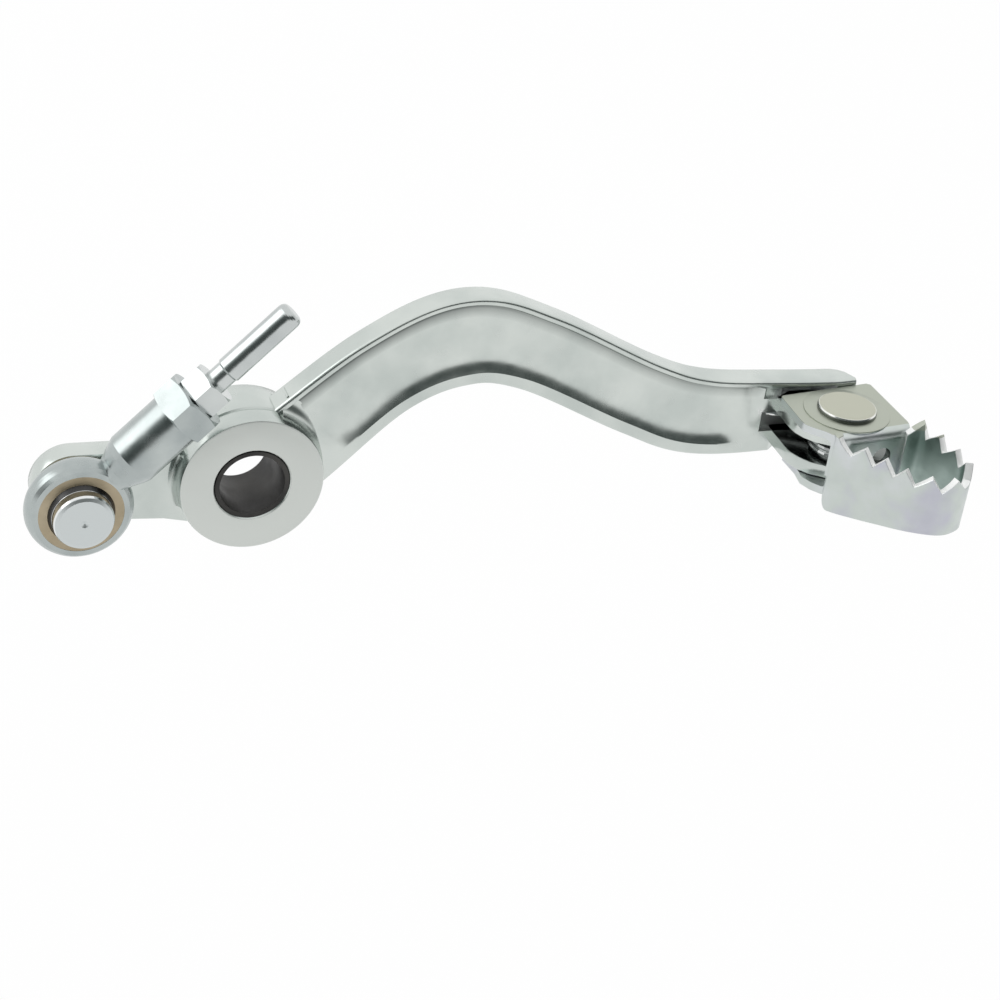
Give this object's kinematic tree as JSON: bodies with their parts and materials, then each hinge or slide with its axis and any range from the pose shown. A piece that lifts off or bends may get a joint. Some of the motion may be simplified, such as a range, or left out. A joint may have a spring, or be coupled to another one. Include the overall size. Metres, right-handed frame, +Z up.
{
  "type": "motorcycle rear brake pedal",
  "caption": "Forged rear brake pedal with a bushed pivot boss, a ball-jointed rod end and push rod, and a spring-returned folding saw-tooth toe piece.",
  "frame": {"origin": "centre of the pivot bore", "axes": "+X forward along the pedal towards the toe piece, +Y along the pivot axis away from the rod end's side, +Z up along the toe pin's axis"},
  "size_m": [0.215, 0.0537, 0.0621],
  "materials": {
    "forged_zinc": "bright zinc plate on a forging",
    "bush_steel": "dark sintered steel",
    "stud_steel": "satin zinc plate",
    "race_bronze": "sintered bronze",
    "rod_end_zinc": "bright zinc plate",
    "fastener_zinc": "bright zinc plate",
    "sheet_zinc": "satin zinc plate on bent sheet",
    "pin_zinc": "yellowish zinc plate",
    "spring_steel": "plated spring wire"
  },
  "bodies": {
    "arm": {"lever_arm": "forged_zinc", "pivot_bush": "bush_steel", "ball_stud": "stud_steel", "spring_sleeve": "fastener_zinc", "return_spring": "spring_steel"},
    "link": {"rod_end": "rod_end_zinc", "bearing_race": "race_bronze", "lock_nut": "fastener_zinc"},
    "pushrod": {"push_rod": "fastener_zinc"},
    "toe": {"toe_piece": "sheet_zinc", "toe_pin": "pin_zinc"}
  },
  "joints": [
    {"name": "toe_fold", "type": "hinge", "parent": "arm", "child": "toe", "pos_m": [0.1425, -0.015, 0.0045], "axis": [0, 0, 1], "range_deg": [-40, 0], "stiffness_Nm_per_rad": 0.3, "springref_deg": 57.3, "deforming": ["return_spring"]},
    {"name": "link_swing", "type": "hinge", "parent": "arm", "child": "link", "pos_m": [-0.039, -0.0095, -0.0015], "axis": [0, 1, 0], "range_deg": [-265, 3]},
    {"name": "rod_adjust", "type": "slide", "parent": "link", "child": "pushrod", "axis": [0.7034, 0, 0.7108], "range_m": [-0.003, 0.006]}
  ]
}
